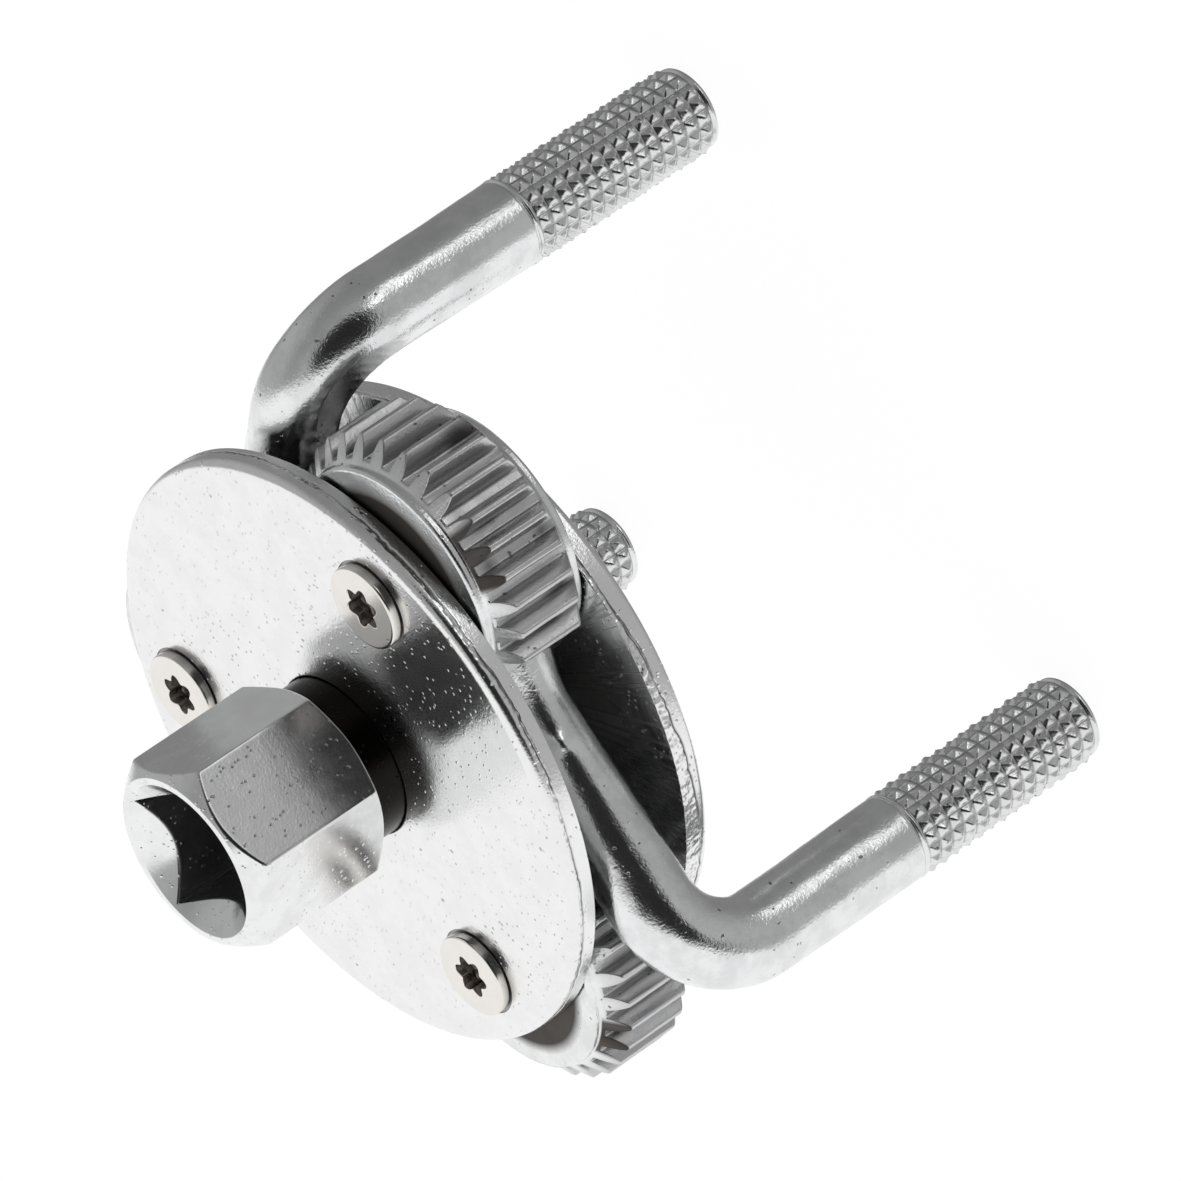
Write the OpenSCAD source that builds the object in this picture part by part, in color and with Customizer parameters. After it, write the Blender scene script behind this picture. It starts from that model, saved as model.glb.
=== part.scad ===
// Three-jaw oil filter wrench, geared, working in either turning direction.
// +Z is the drive axis with the hexagon at the top; the finger tips stand on z = 0.

/* [Plates] */
// Diameter of the front plate
front_plate_d = 53.6; // [50:0.2:56]
// Diameter of the rear plate
rear_plate_d = 52.0; // [50:0.2:54]
// Thickness of each plate
plate_t = 2.4; // [2:0.1:3]
// Clear gap between the plates, which is the length of the pivot posts
plate_gap = 10.7; // [10.2:0.1:12]
// Radius of the rolled-over rim left by punching
rim_roll_r = 0.8; // [0.3:0.1:1.2]

/* [Gears] */
// Gear module, shared by the hub and the jaws
gear_module = 0.8; // [0.75:0.01:0.85]
// Teeth on the drive hub, a multiple of three so that all jaws match
hub_teeth = 21; // [18:3:24]
// Teeth that a full circle of a jaw gear would have
jaw_teeth = 30; // [28:1:32]
// Pressure angle
pressure_angle = 20; // [18:1:25]
// Width of the jaw gears at the tooth roots
jaw_gear_w = 8.7; // [8:0.1:9.2]
// How far the tooth tips are bevelled back at both faces
tooth_bevel = 1.6; // [0.8:0.1:2]

/* [Jaws] */
// Distance from a pivot to its finger axis
arm_length = 39.0; // [37:0.5:44]
// Swing of each arm from straight outwards, in the rest pose
arm_rest_angle = 120.8; // [100:0.1:120.8]
// Diameter of the round finger
finger_d = 7.6; // [7:0.1:8]
// Diameter over the points of the grip
grip_d = 8.0; // [7.6:0.1:8.4]
// Length of the grip
grip_length = 19.4; // [15:0.1:24]
// Ridges round the grip
grip_ridges = 18; // [14:1:24]
// Rows of pyramids along the grip
grip_rows = 14; // [10:1:18]
// Arm diameter beside the gear
arm_root_d = 6.3; // [5.5:0.1:6.8]
// Arm diameter at the elbow
arm_elbow_d = 7.3; // [6.8:0.1:7.6]
// Bend radius of the elbow on the centre line
elbow_r = 7.2; // [6:0.1:9]

/* [Drive hub] */
// Width of the hexagon across its flats
hex_af = 15.9; // [15.9:0.1:17]
// Length of the hexagon
hex_length = 14.1; // [12:0.1:18]
// Gap between the hexagon and the front plate
hex_standoff = 2.8; // [1.5:0.1:4]
// Diameter of the round neck
neck_d = 14.4; // [13.6:0.1:14.6]
// Width of the square drive socket
square_w = 9.6; // [9.5:0.05:9.7]
// Depth of the square drive socket
square_depth = 12; // [10:0.5:13]
// Diameter of the countersink's mouth
mouth_d = 14.6; // [14:0.1:14.8]

/* [Screws and posts] */
// Diameter of the pivot posts
post_d = 8.0; // [7:0.1:9]
// Thread diameter of the screws
screw_d = 4.0; // [3.8:0.1:4.2]
// Diameter of the screw heads
screw_head_d = 7.4; // [7:0.1:8]
// Height of the screw heads
screw_head_h = 0.9; // [0.7:0.1:1.4]
// Width of the six-lobe recess over its points
recess_d = 3.7; // [3.3:0.1:3.8]

/* [Height] */
// Height of the front plate's outer face above the finger tips
front_face_z = 49.2; // [45:0.1:54]

/* [Hidden] */

$fn = 64;
cut = 1;                                   // overshoot of a cutting shape
run_fit = 0.05;                            // radial clearance of a turning fit
face_gap = 0.25;                           // clearance between jaw and plate faces

steel = [0.80, 0.80, 0.81];
dull_steel = [0.70, 0.70, 0.71];
screw_steel = [0.78, 0.75, 0.70];

front_back_z = front_face_z - plate_t;     // inner face of the front plate
rear_front_z = front_back_z - plate_gap;   // inner face of the rear plate
rear_face_z = rear_front_z - plate_t;      // outer face of the rear plate
mid_z = (front_back_z + rear_front_z) / 2; // middle of the gap
arm_z = mid_z + 0.35;                      // height of the arm's axis

pivot_r = gear_module * (hub_teeth + jaw_teeth) / 2;
jaw_pitch_r = gear_module * jaw_teeth / 2;
hub_pitch_r = gear_module * hub_teeth / 2;
addendum = gear_module;
dedendum = 1.25 * gear_module;
flank_play = 0.06;                         // material taken off each flank
boss_r = jaw_pitch_r - dedendum - 0.35;    // plain boss under the teeth
tooth_phase = 2.6;                         // a jaw tooth's angle from straight outwards
bare_half_angle = 36;                      // no teeth this close to the arm
post_bore_r = post_d / 2 + run_fit;
journal_r = 6;                             // hub journal in the rear plate

hex_turn = 10;                             // turn of the hexagon at rest
square_turn = 40.6;                        // turn of the square socket at rest
hub_top_z = front_face_z + hex_standoff + hex_length;

// Pressure angle of an involute at radius r, and the involute function, in degrees
function flank_angle(base_r, r) = acos(min(1, base_r / r));
function involute(angle) = tan(angle) * 180 / PI - angle;
// Half of the angle that a tooth fills at radius r
function half_tooth(teeth, r) =
    let (pitch_r = gear_module * teeth / 2,
         base_r = pitch_r * cos(pressure_angle))
    90 / teeth - flank_play / pitch_r * 180 / PI
    + involute(pressure_angle) - involute(flank_angle(base_r, max(r, base_r)));
function polar(r, angle) = [r * cos(angle), r * sin(angle)];
// The radii at which a flank is drawn, from root to tip
function flank_radii(teeth) =
    let (pitch_r = gear_module * teeth / 2)
    [for (step = [-dedendum, -0.4 * addendum, 0, 0.5 * addendum, addendum]) pitch_r + step];
// Outline of a gear; teeth nearer than bare degrees to the +X axis are left out
function gear_outline(teeth, phase, bare) =
    [for (i = [0 : teeth - 1])
        let (centre = phase + i * 360 / teeth,
             from_arm = abs((centre + 180) % 360 - 180),
             radii = from_arm < bare ? [] : flank_radii(teeth),
             half_step = 180 / teeth,
             root_r = gear_module * teeth / 2 - dedendum)
        each concat(
            [polar(root_r, centre - half_step)],
            [for (r = radii) polar(r, centre - half_tooth(teeth, r))],
            [for (k = [len(radii) - 1 : -1 : 0])
                polar(radii[k], centre + half_tooth(teeth, radii[k]))])];

// Places a shape at pivot number k, standing along the drive axis
module at_pivot(k) {
    rotate([0, 0, 120 * k]) translate([pivot_r, 0, 0]) children();
}

// A punched disc whose rim is rolled over on its upper side
module punched_disc(d) {
    rotate_extrude($fn = 128) {
        square([d / 2 - rim_roll_r, plate_t]);
        square([d / 2, plate_t - rim_roll_r]);
        translate([d / 2 - rim_roll_r, plate_t - rim_roll_r]) intersection() {
            circle(r = rim_roll_r, $fn = 32);
            square(rim_roll_r);
        }
    }
}

module front_plate() {
    color(steel) translate([0, 0, front_back_z]) difference() {
        punched_disc(front_plate_d);
        translate([0, 0, -cut]) cylinder(d = neck_d + 2 * run_fit, h = plate_t + 2 * cut);
        for (k = [0 : 2]) at_pivot(k) translate([0, 0, -cut])
            cylinder(d = screw_d + 2 * run_fit, h = plate_t + 2 * cut);
    }
}

module rear_plate() {
    color(dull_steel) translate([0, 0, rear_front_z]) mirror([0, 0, 1]) difference() {
        punched_disc(rear_plate_d);
        translate([0, 0, -cut]) cylinder(r = journal_r + run_fit, h = plate_t + 2 * cut);
        for (k = [0 : 2]) at_pivot(k) translate([0, 0, -cut])
            cylinder(d = screw_d + 2 * run_fit, h = plate_t + 2 * cut);
    }
}

// The hexagon, its corners turned off at both ends
module hex_head() {
    corner_r = hex_af / sqrt(3);
    face_r = mouth_d / 2 + 0.3;
    top_cut = corner_r - face_r;
    foot_r = hex_af / 2 - 0.3;
    foot_cut = (corner_r - foot_r) * 0.7;
    intersection() {
        rotate([0, 0, hex_turn]) cylinder(r = corner_r, h = hex_length, $fn = 6);
        rotate_extrude() polygon([
            [0, 0], [foot_r, 0], [corner_r + 0.1, foot_cut],
            [corner_r + 0.1, hex_length - top_cut], [face_r, hex_length], [0, hex_length]]);
    }
}

module hub_gear() {
    mesh_turn = 180 / hub_teeth - tooth_phase * jaw_teeth / hub_teeth;
    width = plate_gap - 2 * face_gap;
    outer_r = hub_pitch_r + addendum + 0.2;    // just clear of the tooth tips
    intersection() {
        linear_extrude(width) polygon(gear_outline(hub_teeth, mesh_turn, 0));
        rotate_extrude() polygon([
            [0, 0], [outer_r - 0.8, 0], [outer_r, 0.5], [outer_r, width - 0.5],
            [outer_r - 0.8, width], [0, width]]);
    }
}

module drive_hub() {
    socket_z = hub_top_z - square_depth;
    cone_h = (mouth_d - square_w) / 2;
    color(steel) difference() {
        union() {
            translate([0, 0, hub_top_z - hex_length]) hex_head();
            translate([0, 0, rear_front_z + cut])
                cylinder(d = neck_d, h = hub_top_z - hex_length - rear_front_z - cut + 0.5);
            translate([0, 0, rear_front_z + face_gap]) hub_gear();
            translate([0, 0, rear_face_z])
                cylinder(r = journal_r, h = plate_t + face_gap + 0.5);
        }
        translate([0, 0, socket_z]) rotate([0, 0, square_turn])
            linear_extrude(square_depth + cut) square(square_w, center = true);
        translate([0, 0, hub_top_z - cone_h])
            cylinder(r1 = square_w / 2, r2 = mouth_d / 2, h = cone_h);
        translate([0, 0, hub_top_z - 0.001]) cylinder(d = mouth_d, h = cut);
        translate([0, 0, socket_z - 2.5]) cylinder(d = square_w - 1, h = 2.5 + cut);
    }
}

// The toothed part of a jaw: conical bevels run down both faces of the teeth
module jaw_gear(phase) {
    outer_r = jaw_pitch_r + addendum + 0.3;    // just clear of the tooth tips
    low = mid_z - jaw_gear_w / 2;
    intersection() {
        translate([0, 0, low])
            linear_extrude(jaw_gear_w) polygon(gear_outline(jaw_teeth, phase, bare_half_angle));
        translate([0, 0, low]) rotate_extrude() polygon([
            [0, 0], [boss_r - 0.3, 0], [outer_r, tooth_bevel],
            [outer_r, jaw_gear_w - tooth_bevel], [boss_r - 0.3, jaw_gear_w], [0, jaw_gear_w]]);
    }
}

// Round rod: tapered arm, quarter-turn elbow and straight finger with a ridged grip
module jaw_rod() {
    straight = arm_length - elbow_r;
    root_x = 9;
    translate([root_x - 2, 0, arm_z]) rotate([0, 90, 0])
        cylinder(d1 = arm_root_d + 2.6, d2 = arm_root_d, h = 7.5);
    translate([root_x, 0, arm_z]) rotate([0, 90, 0])
        cylinder(d1 = arm_root_d, d2 = arm_elbow_d, h = straight - root_x);
    translate([straight, 0, arm_z - elbow_r]) rotate([90, 0, 0])
        rotate_extrude(angle = 90) translate([elbow_r, 0]) circle(d = arm_elbow_d);
    translate([arm_length, 0, grip_length])
        cylinder(d1 = finger_d, d2 = arm_elbow_d, h = arm_z - elbow_r - grip_length);
    translate([arm_length, 0, 0]) grip();
}

// The grip: ridges along the finger, crossed by ring grooves that leave rows of pyramids
module grip() {
    end_chamfer = 0.6;
    groove_r = grip_d / 2 - 0.45;
    pitch = (grip_length - 0.8) / grip_rows;
    intersection() {
        linear_extrude(grip_length) polygon([
            for (i = [0 : 2 * grip_ridges - 1])
                polar(i % 2 == 0 ? grip_d / 2 : groove_r, i * 180 / grip_ridges)]);
        rotate_extrude() polygon(concat(
            [[0, 0], [grip_d / 2 - end_chamfer, 0], [groove_r + 0.3, 0.8]],
            [for (i = [0 : grip_rows - 1])
                each [[grip_d / 2 + 0.02, 0.8 + (i + 0.5) * pitch],
                      [groove_r + 0.02, 0.8 + (i + 1) * pitch]]],
            [[0, grip_length]]));
    }
}

module jaw(k) {
    phase = tooth_phase + arm_rest_angle;
    bottom = rear_front_z + face_gap;
    height = plate_gap - 2 * face_gap;
    color(steel) at_pivot(k) rotate([0, 0, -arm_rest_angle]) difference() {
        union() {
            translate([0, 0, bottom]) cylinder(r = boss_r, h = height);
            jaw_gear(phase);
            jaw_rod();
        }
        translate([0, 0, bottom - cut]) cylinder(r = post_bore_r, h = height + 2 * cut);
    }
}

module jaw_a() { jaw(0); }
module jaw_b() { jaw(1); }
module jaw_c() { jaw(2); }

// Tubular post, tapped right through, that spaces the plates and carries a jaw
module pivot_post(k) {
    color(dull_steel) at_pivot(k) translate([0, 0, rear_front_z]) difference() {
        cylinder(d = post_d, h = plate_gap);
        translate([0, 0, -cut]) cylinder(d = screw_d + 2 * run_fit, h = plate_gap + 2 * cut);
    }
}

module pivot_post_a() { pivot_post(0); }
module pivot_post_b() { pivot_post(1); }
module pivot_post_c() { pivot_post(2); }

// Six-lobe driving recess
module lobe_recess(depth) {
    lobe_r = recess_d * 0.11;
    linear_extrude(depth) {
        circle(r = recess_d * 0.36);
        for (i = [0 : 5]) rotate(60 * i) translate([recess_d / 2 - lobe_r, 0]) circle(r = lobe_r);
    }
}

// Low-head screw, its head's seat at z = 0 and its shank pointing down
module low_screw() {
    shank = plate_t + plate_gap / 2 - 0.6;
    recess_depth = 1.5;
    edge = 0.2;
    difference() {
        union() {
            cylinder(d = screw_head_d, h = screw_head_h - edge);
            translate([0, 0, screw_head_h - edge])
                cylinder(d1 = screw_head_d, d2 = screw_head_d - 2 * edge, h = edge);
            translate([0, 0, -shank]) cylinder(d = screw_d, h = shank + 0.2);
        }
        translate([0, 0, screw_head_h - recess_depth]) lobe_recess(recess_depth + cut);
    }
}

module front_screw(k) {
    color(screw_steel) at_pivot(k) translate([0, 0, front_face_z]) rotate([0, 0, 12]) low_screw();
}

module rear_screw(k) {
    color(screw_steel) at_pivot(k) translate([0, 0, rear_face_z]) mirror([0, 0, 1]) low_screw();
}

module front_screw_a() { front_screw(0); }
module front_screw_b() { front_screw(1); }
module front_screw_c() { front_screw(2); }
module rear_screw_a() { rear_screw(0); }
module rear_screw_b() { rear_screw(1); }
module rear_screw_c() { rear_screw(2); }

front_plate();
rear_plate();
drive_hub();
jaw_a();
jaw_b();
jaw_c();
pivot_post_a();
pivot_post_b();
pivot_post_c();
front_screw_a();
front_screw_b();
front_screw_c();
rear_screw_a();
rear_screw_b();
rear_screw_c();
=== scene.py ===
import math

import bpy
import numpy as np
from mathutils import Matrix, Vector


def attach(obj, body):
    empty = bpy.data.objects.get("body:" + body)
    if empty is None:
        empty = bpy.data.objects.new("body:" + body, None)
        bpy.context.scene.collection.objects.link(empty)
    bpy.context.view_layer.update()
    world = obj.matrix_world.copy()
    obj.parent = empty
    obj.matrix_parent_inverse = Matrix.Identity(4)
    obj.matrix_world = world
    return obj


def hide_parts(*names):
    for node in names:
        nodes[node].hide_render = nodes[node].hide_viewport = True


# Geared oil filter wrench. Everything is worked out in millimetres, in the row frame:
# +Z is the drive axis towards the hexagon, and the finger ends stand on z = 0.

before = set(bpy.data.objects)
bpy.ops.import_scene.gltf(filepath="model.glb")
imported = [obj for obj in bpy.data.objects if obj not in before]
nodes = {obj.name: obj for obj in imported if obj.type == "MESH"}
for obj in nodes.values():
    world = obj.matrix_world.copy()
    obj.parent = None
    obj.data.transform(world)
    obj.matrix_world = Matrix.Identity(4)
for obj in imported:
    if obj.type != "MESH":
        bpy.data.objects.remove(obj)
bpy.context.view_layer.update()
metresPerMm = 0.001

layout = {
    "pivotRadius": 20.4,  # distance of each jaw's pivot from the drive axis
    "frontFace": 49.2,  # outer face of the front plate
    "rearFace": 33.7,  # outer face of the rear plate
    "plateThickness": 2.4,
}


def turned(points, degrees):
    # x and y turned about the Z axis by the given angle, z kept
    c, s = math.cos(math.radians(degrees)), math.sin(math.radians(degrees))
    x, y = points[..., 0], points[..., 1]
    return np.stack([c * x - s * y, s * x + c * y, points[..., 2]], -1)


def roundedPath(corners, trims, steps=5, closed=False):
    # Each corner becomes a parabola that leaves the path one trim before it and joins
    # it one trim after it; two more points hold the straight runs flat beside it.
    # corners is (n, ..., 2), and every column of the middle axes is its own path.
    corners = [np.asarray(c, float) for c in corners]
    shape = np.broadcast_shapes(*[c.shape for c in corners])
    corners = [np.broadcast_to(c, shape) for c in corners]
    count, rows = len(corners), []
    for i, here in enumerate(corners):
        if trims[i] == 0 or (not closed and i in (0, count - 1)):
            rows.append(here)  # a corner with no trim stays one point
            continue
        toBefore, toAfter = corners[i - 1] - here, corners[(i + 1) % count] - here
        lengthBefore = np.linalg.norm(toBefore, axis=-1, keepdims=True) + 1e-9
        lengthAfter = np.linalg.norm(toAfter, axis=-1, keepdims=True) + 1e-9
        trim = np.minimum(trims[i], 0.4 * np.minimum(lengthBefore, lengthAfter))
        start, end = here + toBefore / lengthBefore * trim, here + toAfter / lengthAfter * trim
        rows.append(here + toBefore / lengthBefore * trim * 1.2)
        for t in np.linspace(0, 1, steps):
            rows.append(start * (1 - t) ** 2 + 2 * here * t * (1 - t) + end * t**2)
        rows.append(here + toAfter / lengthAfter * trim * 1.2)
    return np.stack(rows)


def revolved(path, angles):
    # (r, z) turned round the Z axis: x = r cos a, y = r sin a; path is (rows, 2) or (rows, angles, 2)
    if path.ndim == 2:
        path = path[:, None, :]
    radius, height = path[..., 0], path[..., 1]
    radius, height = np.broadcast_arrays(radius, height)
    a = np.radians(angles)[None, :]
    return np.stack([radius * np.cos(a), radius * np.sin(a), height + 0 * a], -1)


def shellFaces(rows, columns, closedRows, flip):
    # quads between neighbouring rows and columns of a grid; the columns always close
    i = np.arange(rows if closedRows else rows - 1)[:, None]
    j = np.arange(columns)[None, :]
    after, below = (j + 1) % columns, (i + 1) % rows
    quads = np.stack(
        [i * columns + j, i * columns + after, below * columns + after, below * columns + j], -1
    ).reshape(-1, 4)
    return quads[:, ::-1] if flip else quads


def shell(points, closedRows=False, flip=False):
    # A grid of points as one closed skin. Where the rows don't close on themselves,
    # the first and last are closed with a fan about their mean point.
    rows, columns = points.shape[:2]
    flat, quads = points.reshape(-1, 3), shellFaces(rows, columns, closedRows, flip)
    if closedRows:
        return flat, quads, np.zeros((0, 3), int)
    first, last = len(flat), len(flat) + 1
    j = np.arange(columns)
    after = (j + 1) % columns
    base = (rows - 1) * columns
    fans = np.concatenate(
        [
            np.stack([np.full(columns, first), after, j], -1),
            np.stack([np.full(columns, last), base + j, base + after], -1),
        ]
    )
    ends = np.stack([points[0].mean(0), points[-1].mean(0)])
    return np.concatenate([flat, ends]), quads, fans[:, ::-1] if flip else fans


def makePiece(name, skins, material, attributes=None):
    # joins closed skins into one mesh object, in metres, at the origin
    starts = np.cumsum([0] + [len(s[0]) for s in skins[:-1]])
    points = np.concatenate([s[0] for s in skins]) * metresPerMm
    quads = np.concatenate([s[1] + n for s, n in zip(skins, starts)])
    fans = np.concatenate([s[2] + n for s, n in zip(skins, starts)])
    mesh = bpy.data.meshes.new(name)
    mesh.vertices.add(len(points))
    mesh.vertices.foreach_set("co", points.astype(np.float32).ravel())
    mesh.loops.add(quads.size + fans.size)
    mesh.loops.foreach_set("vertex_index", np.concatenate([quads.ravel(), fans.ravel()]).astype(np.int32))
    sizes = np.concatenate([np.full(len(quads), 4), np.full(len(fans), 3)])
    mesh.polygons.add(len(sizes))
    mesh.polygons.foreach_set("loop_start", np.concatenate([[0], np.cumsum(sizes)[:-1]]).astype(np.int32))
    mesh.polygons.foreach_set("use_smooth", np.ones(len(sizes), bool))
    for key, values in (attributes or {}).items():
        attribute = mesh.attributes.new(key, "FLOAT", "POINT")
        attribute.data.foreach_set("value", values.astype(np.float32))
    mesh.update(calc_edges=True)
    mesh.validate()
    piece = bpy.data.objects.new(name, mesh)
    bpy.context.scene.collection.objects.link(piece)
    mesh.materials.append(material)
    return piece


def easedNoise(u, v, seed, period):
    # random heights on a unit lattice, eased between neighbours; repeats every period cells in u
    # and every periodV cells in v
    periodV = 97
    table = np.random.default_rng(seed).uniform(-1, 1, (period, periodV))
    cellU, cellV = np.floor(u).astype(int), np.floor(v).astype(int)
    partU, partV = u - cellU, v - cellV
    partU, partV = partU**2 * (3 - 2 * partU), partV**2 * (3 - 2 * partV)
    left, right = cellU % period, (cellU + 1) % period
    below, above = cellV % periodV, (cellV + 1) % periodV
    low = table[left, below] * (1 - partU) + table[right, below] * partU
    high = table[left, above] * (1 - partU) + table[right, above] * partU
    return low * (1 - partV) + high * partV


def between(x, low, high):
    # 0 below low, 1 above high, eased between them
    t = np.clip((x - low) / (high - low), 0, 1)
    return t * t * (3 - 2 * t)


def newGroup(name, inputs, outputs):
    # an empty node group with named sockets; a 3-tuple is the default of a colour or vector
    group = bpy.data.node_groups.new(name, "ShaderNodeTree")
    for label, kind, value in inputs:
        socket = group.interface.new_socket(name=label, in_out="INPUT", socket_type=kind)
        if value is not None:
            socket.default_value = value
    for label, kind in outputs:
        group.interface.new_socket(name=label, in_out="OUTPUT", socket_type=kind)
    return group, group.nodes.new("NodeGroupInput"), group.nodes.new("NodeGroupOutput")


def addNode(tree, kind, settings=None, values=None):
    # a new node with its settings and its sockets' own values
    node = tree.nodes.new(kind)
    for key, value in (settings or {}).items():
        setattr(node, key, value)
    for key, value in (values or {}).items():
        node.inputs[key].default_value = value
    return node


def maths(tree, operation, a, b=None, clamp=False):
    # one Math node; a and b are sockets or numbers
    node = addNode(tree, "ShaderNodeMath", {"operation": operation, "use_clamp": clamp})
    for i, value in enumerate((a, b)):
        if value is None:
            continue
        if isinstance(value, (int, float)):
            node.inputs[i].default_value = value
        else:
            tree.links.new(value, node.inputs[i])
    return node.outputs[0]


def stepped(tree, value, low, high):
    # a Map Range node that runs from 0 at low to 1 at high, eased
    node = addNode(tree, "ShaderNodeMapRange", {"interpolation_type": "SMOOTHSTEP"})
    tree.links.new(value, node.inputs["Value"])
    node.inputs["From Min"].default_value, node.inputs["From Max"].default_value = low, high
    return node.outputs["Result"]


# cells or waves per metre of each layer of the grain, and how many of the speck cells hold one
grains = {
    "fine": 4200.0,
    "broad": 800.0,
    "broadShare": 0.8,  # height of the broad grain beside the fine one
    "patch": 380.0,
    "speck": 1900.0,
    "speckEdge": (0.05, 0.30),
    "speckShare": 0.45,
}


def makeGrain():
    # the fine orange-peel grain of plated forgings, with raised specks and slow roughness changes
    group, given, out = newGroup(
        "platedGrain",
        [("Vector", "NodeSocketVector", None), ("Grain Size", "NodeSocketFloat", 1.0)],
        [("Height", "NodeSocketFloat"), ("Specks", "NodeSocketFloat"), ("Patches", "NodeSocketFloat")],
    )
    scaled = addNode(group, "ShaderNodeVectorMath", {"operation": "SCALE"})
    group.links.new(given.outputs["Vector"], scaled.inputs[0])
    group.links.new(given.outputs["Grain Size"], scaled.inputs["Scale"])

    def noise(scale, detail, roughness):
        values = {"Scale": scale, "Detail": detail, "Roughness": roughness}
        return addNode(group, "ShaderNodeTexNoise", values=values)

    fine = noise(grains["fine"], 2.5, 0.6)
    broad = noise(grains["broad"], 2.0, 0.5)
    patch = noise(grains["patch"], 4.0, 0.65)
    cells = {"Scale": grains["speck"], "Randomness": 1.0}
    speck = addNode(group, "ShaderNodeTexVoronoi", {"feature": "F1"}, cells)
    for node in (fine, broad, patch, speck):
        group.links.new(scaled.outputs[0], node.inputs["Vector"])
    broadPart = maths(group, "MULTIPLY", broad.outputs["Fac"], grains["broadShare"])
    height = maths(group, "ADD", fine.outputs["Fac"], broadPart)
    group.links.new(height, out.inputs["Height"])
    near = maths(group, "SUBTRACT", 1.0, stepped(group, speck.outputs["Distance"], *grains["speckEdge"]))
    hue = addNode(group, "ShaderNodeSeparateColor")
    group.links.new(speck.outputs["Color"], hue.inputs[0])
    chosen = maths(group, "LESS_THAN", hue.outputs[0], grains["speckShare"])
    group.links.new(maths(group, "MULTIPLY", near, chosen), out.inputs["Specks"])
    group.links.new(patch.outputs["Fac"], out.inputs["Patches"])
    return group


pitForm = {
    "warp": 900.0,  # waves per metre of the noise that bends the pits' outlines
    "warpReach": 0.0007,  # metres
    "cluster": 130.0,  # waves per metre of the noise that gathers them
    "clusterEdge": (0.38, 0.64),
    "smallest": 0.06,  # radius as a share of a cell
    "spread": 0.16,  # the largest is this much more
    "edge": 0.45,  # share of the radius over which the depth eases in
    "rustAbove": 0.82,  # pits whose own random value is higher are rusty
}


def makePits():
    # small pits: cells whose own random value is low enough hold one
    group, given, out = newGroup(
        "castPits",
        [
            ("Vector", "NodeSocketVector", None),
            ("Cells", "NodeSocketFloat", 420.0),
            ("Share", "NodeSocketFloat", 0.2),
        ],
        [("Mask", "NodeSocketFloat"), ("Height", "NodeSocketFloat"), ("Rust", "NodeSocketFloat")],
    )
    warp = addNode(group, "ShaderNodeTexNoise", values={"Scale": pitForm["warp"], "Detail": 2.0})
    group.links.new(given.outputs["Vector"], warp.inputs["Vector"])
    offset = addNode(group, "ShaderNodeVectorMath", {"operation": "MULTIPLY_ADD"})
    group.links.new(warp.outputs["Color"], offset.inputs[0])
    offset.inputs[1].default_value = (pitForm["warpReach"],) * 3
    group.links.new(given.outputs["Vector"], offset.inputs[2])
    cell = addNode(group, "ShaderNodeTexVoronoi", {"feature": "F1"}, {"Randomness": 1.0})
    group.links.new(offset.outputs[0], cell.inputs["Vector"])
    group.links.new(given.outputs["Cells"], cell.inputs["Scale"])
    parts = addNode(group, "ShaderNodeSeparateColor")
    group.links.new(cell.outputs["Color"], parts.inputs[0])
    cluster = addNode(group, "ShaderNodeTexNoise", values={"Scale": pitForm["cluster"], "Detail": 1.0})
    group.links.new(given.outputs["Vector"], cluster.inputs["Vector"])
    gathered = stepped(group, cluster.outputs["Fac"], *pitForm["clusterEdge"])
    share = maths(group, "MULTIPLY", given.outputs["Share"], gathered)
    chosen = maths(group, "LESS_THAN", parts.outputs[0], share)
    size = maths(group, "MULTIPLY_ADD", parts.outputs[1], pitForm["spread"])
    size.node.inputs[2].default_value = pitForm["smallest"]
    outwards = maths(group, "DIVIDE", cell.outputs["Distance"], size)
    inside = maths(group, "SUBTRACT", 1.0, outwards, clamp=True)
    mask = maths(group, "MULTIPLY", stepped(group, inside, 0.0, pitForm["edge"]), chosen)
    group.links.new(mask, out.inputs["Mask"])
    group.links.new(maths(group, "MULTIPLY", mask, -1.0), out.inputs["Height"])
    rusty = maths(group, "GREATER_THAN", parts.outputs[2], pitForm["rustAbove"])
    group.links.new(rusty, out.inputs["Rust"])
    return group


groups = {"grain": makeGrain(), "pits": makePits()}


def useGroup(tree, group, vector, **values):
    # a copy of a node group in a material, fed with a place and its own numbers
    node = tree.nodes.new("ShaderNodeGroup")
    node.node_tree = group
    tree.links.new(vector, node.inputs["Vector"])
    for key, value in values.items():
        node.inputs[key.replace("_", " ")].default_value = value
    return node


def mixed(tree, factor, a, b):
    # colour a where factor is 0, b where it is 1; a and b are sockets or colours
    node = addNode(tree, "ShaderNodeMix", {"data_type": "RGBA"})
    if isinstance(factor, (int, float)):
        node.inputs[0].default_value = factor
    else:
        tree.links.new(factor, node.inputs[0])
    for i, value in ((6, a), (7, b)):
        if isinstance(value, tuple):
            node.inputs[i].default_value = (*value, 1.0)
        else:
            tree.links.new(value, node.inputs[i])
    return node.outputs[2]


wear = {
    "dullColour": (0.60, 0.60, 0.605),  # where "dull" is 1: cut surfaces whose plating is thin
    "dullRough": 0.12,
    "rustColour": (0.20, 0.10, 0.06),
}


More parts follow.
